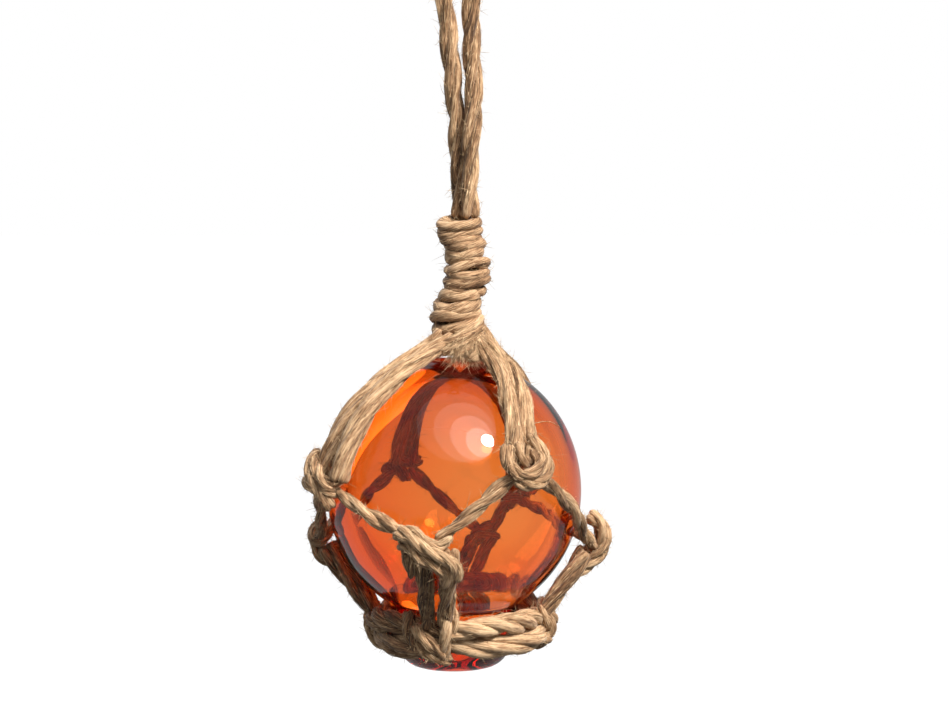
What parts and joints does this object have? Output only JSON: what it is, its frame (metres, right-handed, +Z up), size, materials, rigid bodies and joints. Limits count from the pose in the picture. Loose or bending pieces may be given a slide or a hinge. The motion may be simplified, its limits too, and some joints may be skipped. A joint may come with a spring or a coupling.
{
  "type": "glass float ball",
  "caption": "Hanging ornament: a small sealed amber glass float ball in a knotted jute net, with a whipped neck and its own hanging loop of twine.",
  "frame": {"origin": "inside top of the hanging loop, where a hook or branch carries it", "axes": "+Z up along the loop and the ball's axis, -Y the front, +X to the right seen from the front"},
  "size_m": [0.0599, 0.0576, 0.1786],
  "materials": {
    "amber_glass": "clear amber orange, smooth hand-blown surface",
    "jute_loop": "natural jute, plied, hairy",
    "jute_net": "natural jute, knotted, hairy"
  },
  "bodies": {
    "root": {"glass_ball": "amber_glass", "hanging_loop": "jute_loop", "neck_whipping": "jute_net", "upper_knot_left": "jute_net", "upper_knot_right": "jute_net", "upper_knot_back_right": "jute_net", "upper_knot_back_left": "jute_net", "middle_knot_left": "jute_net", "middle_knot_front": "jute_net", "middle_knot_right": "jute_net", "middle_knot_back": "jute_net", "ring_knot_left": "jute_net", "ring_knot_front": "jute_net", "ring_knot_right": "jute_net", "ring_knot_back": "jute_net", "leg_left_a": "jute_net", "leg_left_b": "jute_net", "mesh_left_a": "jute_net", "mesh_left_b": "jute_net", "leg_right_a": "jute_net", "leg_right_b": "jute_net", "mesh_right_a": "jute_net", "mesh_right_b": "jute_net", "leg_back_right_a": "jute_net", "leg_back_right_b": "jute_net", "mesh_back_right_a": "jute_net", "mesh_back_right_b": "jute_net", "leg_back_left_a": "jute_net", "leg_back_left_b": "jute_net", "mesh_back_left_a": "jute_net", "mesh_back_left_b": "jute_net", "stem_left_a": "jute_net", "stem_left_b": "jute_net", "ring_left_upper": "jute_net", "ring_left_lower": "jute_net", "stem_front_a": "jute_net", "stem_front_b": "jute_net", "ring_front_upper": "jute_net", "ring_front_lower": "jute_net", "stem_right_a": "jute_net", "stem_right_b": "jute_net", "ring_right_upper": "jute_net", "ring_right_lower": "jute_net", "stem_back_a": "jute_net", "stem_back_b": "jute_net", "ring_back_upper": "jute_net", "ring_back_lower": "jute_net"}
  },
  "joints": []
}
